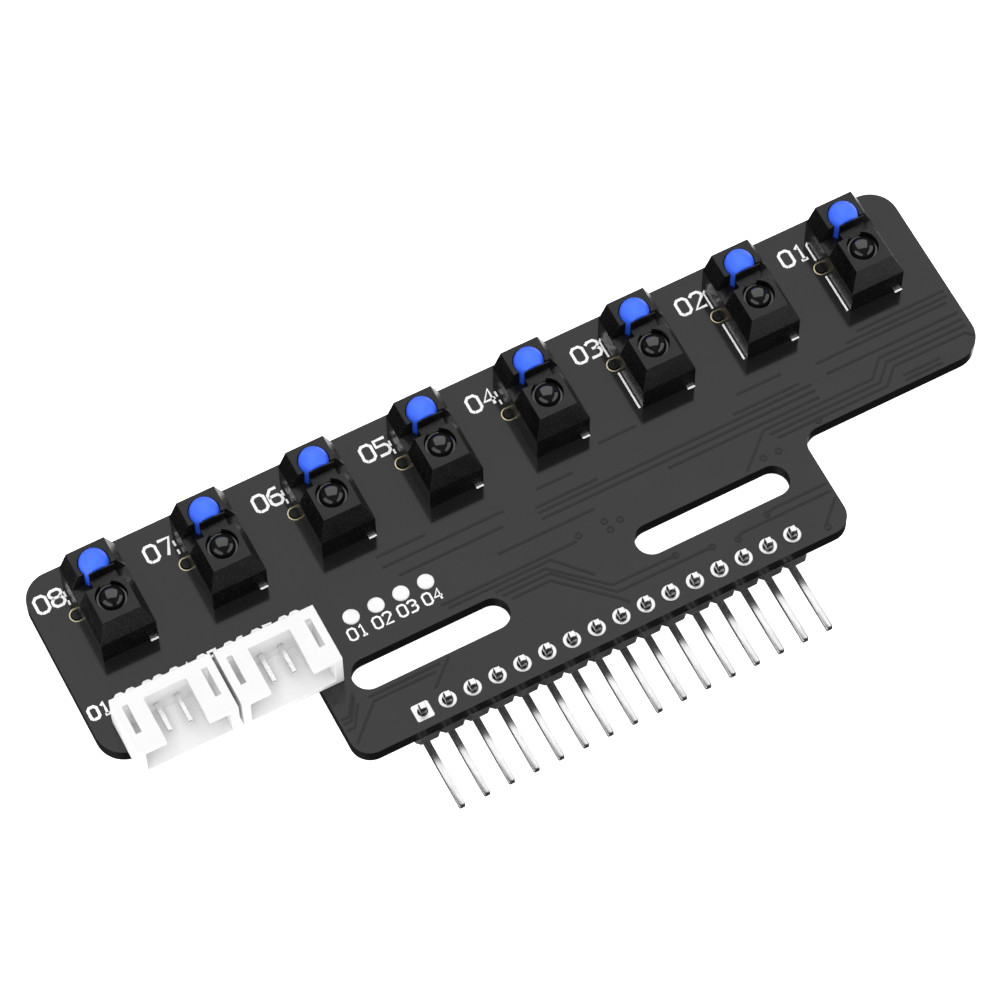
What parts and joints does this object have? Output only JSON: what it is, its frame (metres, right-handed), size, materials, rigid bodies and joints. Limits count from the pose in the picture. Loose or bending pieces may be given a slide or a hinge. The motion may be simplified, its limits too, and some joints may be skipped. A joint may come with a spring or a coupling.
{
  "type": "line sensor board",
  "caption": "Black line sensor board with a row of reflective infrared sensors, side-entry ports, a right-angle pin header and long mounting slots.",
  "frame": {"origin": "midway between the two mounting slots, at mid thickness of the board", "axes": "+X along the sensor row towards channel 1, +Y from the pin header towards the sensors, +Z out of the sensor face"},
  "size_m": [0.0908, 0.0361, 0.0126],
  "materials": {
    "board": "black solder mask, glossy",
    "gold_plating": "pale gold plating",
    "pads": "tinned, bright",
    "sensor_plastic": "moulded black, satin",
    "detector_lens": "black glossy resin",
    "emitter_lens": "blue glossy resin",
    "tinned_leads": "tinned",
    "port_plastic": "white moulded",
    "header_plastic": "moulded black",
    "header_pins": "bright plated",
    "solder": "bright solder",
    "chip_plastic": "moulding compound",
    "resistor_body": "printed ceramic",
    "capacitor_body": "tan ceramic",
    "lamp": "clear resin on white",
    "key_cover": "stamped steel",
    "key_plunger": "moulded black"
  },
  "bodies": {
    "board": {"circuit_board": "board", "clip_hole_plating": "gold_plating", "header_pads": "pads", "test_pads": "pads", "sensor_1_housing": "sensor_plastic", "sensor_1_detector": "detector_lens", "sensor_1_emitter": "emitter_lens", "sensor_1_leads": "tinned_leads", "sensor_2_housing": "sensor_plastic", "sensor_2_detector": "detector_lens", "sensor_2_emitter": "emitter_lens", "sensor_2_leads": "tinned_leads", "sensor_3_housing": "sensor_plastic", "sensor_3_detector": "detector_lens", "sensor_3_emitter": "emitter_lens", "sensor_3_leads": "tinned_leads", "sensor_4_housing": "sensor_plastic", "sensor_4_detector": "detector_lens", "sensor_4_emitter": "emitter_lens", "sensor_4_leads": "tinned_leads", "sensor_5_housing": "sensor_plastic", "sensor_5_detector": "detector_lens", "sensor_5_emitter": "emitter_lens", "sensor_5_leads": "tinned_leads", "sensor_6_housing": "sensor_plastic", "sensor_6_detector": "detector_lens", "sensor_6_emitter": "emitter_lens", "sensor_6_leads": "tinned_leads", "sensor_7_housing": "sensor_plastic", "sensor_7_detector": "detector_lens", "sensor_7_emitter": "emitter_lens", "sensor_7_leads": "tinned_leads", "sensor_8_housing": "sensor_plastic", "sensor_8_detector": "detector_lens", "sensor_8_emitter": "emitter_lens", "sensor_8_leads": "tinned_leads", "left_port_housing": "port_plastic", "left_port_pins": "tinned_leads", "right_port_housing": "port_plastic", "right_port_pins": "tinned_leads", "header_strip": "header_plastic", "header_pins": "header_pins", "sensor_solder": "solder", "port_solder": "solder", "microcontroller_body": "chip_plastic", "microcontroller_leads": "tinned_leads", "regulator_body": "chip_plastic", "regulator_leads": "tinned_leads", "resistors": "resistor_body", "capacitors": "capacitor_body", "channel_lamps": "lamp", "power_lamp": "lamp", "key_base": "chip_plastic", "key_cover": "key_cover", "key_dome": "key_cover", "key_leads": "tinned_leads"},
    "key_button": {"key_plunger": "key_plunger"}
  },
  "joints": [
    {"name": "key_press", "type": "slide", "parent": "board", "child": "key_button", "axis": [0, 0, 1], "range_m": [0, 0.0002], "stiffness_N_per_m": 6000, "springref_m": -0.00005, "deforming": ["key_dome"]}
  ]
}
